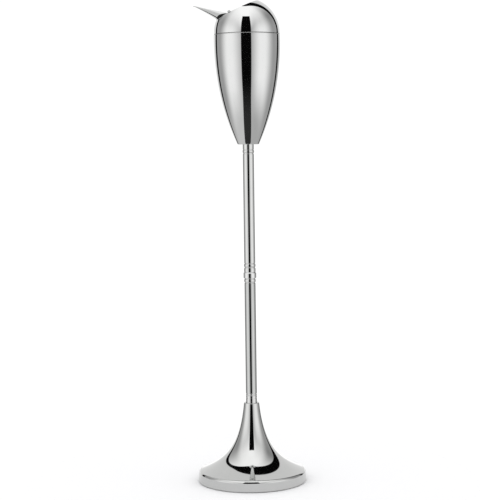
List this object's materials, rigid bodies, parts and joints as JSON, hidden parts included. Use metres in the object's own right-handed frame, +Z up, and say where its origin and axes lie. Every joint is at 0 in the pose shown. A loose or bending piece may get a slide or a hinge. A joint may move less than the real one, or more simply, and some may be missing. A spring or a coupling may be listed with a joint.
{
  "type": "standing ashtray",
  "caption": "Floor-standing chrome smoker's ashtray: weighted trumpet base, slim turned pole, egg-shaped cup with lift-out bucket and a lift-off domed head with a pivoting beaked flap",
  "frame": {"origin": "centre of the flat underside, on the floor", "axes": "+Z up along the pole, the beak points along -X, the hinge pin lies along Y"},
  "size_m": [0.192, 0.192, 0.8443],
  "materials": {
    "polished_chrome": "bright nickel-chrome plate on polished spun and turned steel",
    "zinc_steel": "zinc-plated steel hardware",
    "black_rubber": "matt black moulded rubber",
    "cast_iron": "black-painted cast iron",
    "stainless_steel": "satin spun stainless steel"
  },
  "bodies": {
    "root": {"base_cover": "polished_chrome", "base_collar": "polished_chrome", "lower_tube": "polished_chrome", "lower_ferrule": "polished_chrome", "coupling_ring": "polished_chrome", "upper_ferrule": "polished_chrome", "upper_tube": "polished_chrome", "cup_collar": "polished_chrome", "cup_shell": "polished_chrome", "cup_rim_ring": "polished_chrome", "bottom_plate": "zinc_steel", "plate_screws": "zinc_steel", "base_washer": "zinc_steel", "base_nut": "zinc_steel", "base_rod": "zinc_steel", "spacer_sleeve": "zinc_steel", "lower_tube_foot_plug": "zinc_steel", "lower_tube_top_plug": "zinc_steel", "coupling_stud": "zinc_steel", "upper_tube_foot_plug": "zinc_steel", "upper_tube_top_plug": "zinc_steel", "cup_backing": "zinc_steel", "cup_washer": "zinc_steel", "cup_bolt": "zinc_steel", "floor_pad": "black_rubber", "base_weight": "cast_iron"},
    "bucket": {"ash_bucket": "stainless_steel"},
    "head": {"head_shell": "polished_chrome", "head_ring": "polished_chrome", "hinge_lug_front": "polished_chrome", "hinge_lug_rear": "polished_chrome", "hinge_pin": "polished_chrome", "pin_cap": "polished_chrome"},
    "flap": {"flap_plate": "polished_chrome", "flap_barrel": "polished_chrome", "beak_shell": "polished_chrome", "beak_floor": "zinc_steel", "beak_bumper": "black_rubber", "beak_rivets": "zinc_steel"}
  },
  "joints": [
    {"name": "head_lift", "type": "slide", "parent": "root", "child": "head", "axis": [0, 0, 1], "range_m": [0, 0.3]},
    {"name": "bucket_lift", "type": "slide", "parent": "root", "child": "bucket", "axis": [0, 0, 1], "range_m": [0, 0.15]},
    {"name": "flap_swing", "type": "hinge", "parent": "head", "child": "flap", "pos_m": [-0.03, 0, 0.82269], "axis": [0, 1, 0], "range_deg": [0, 60]}
  ],
  "couplings": [
    {"joint": "bucket_lift", "follows": "head_lift", "ratio": 0.5}
  ]
}
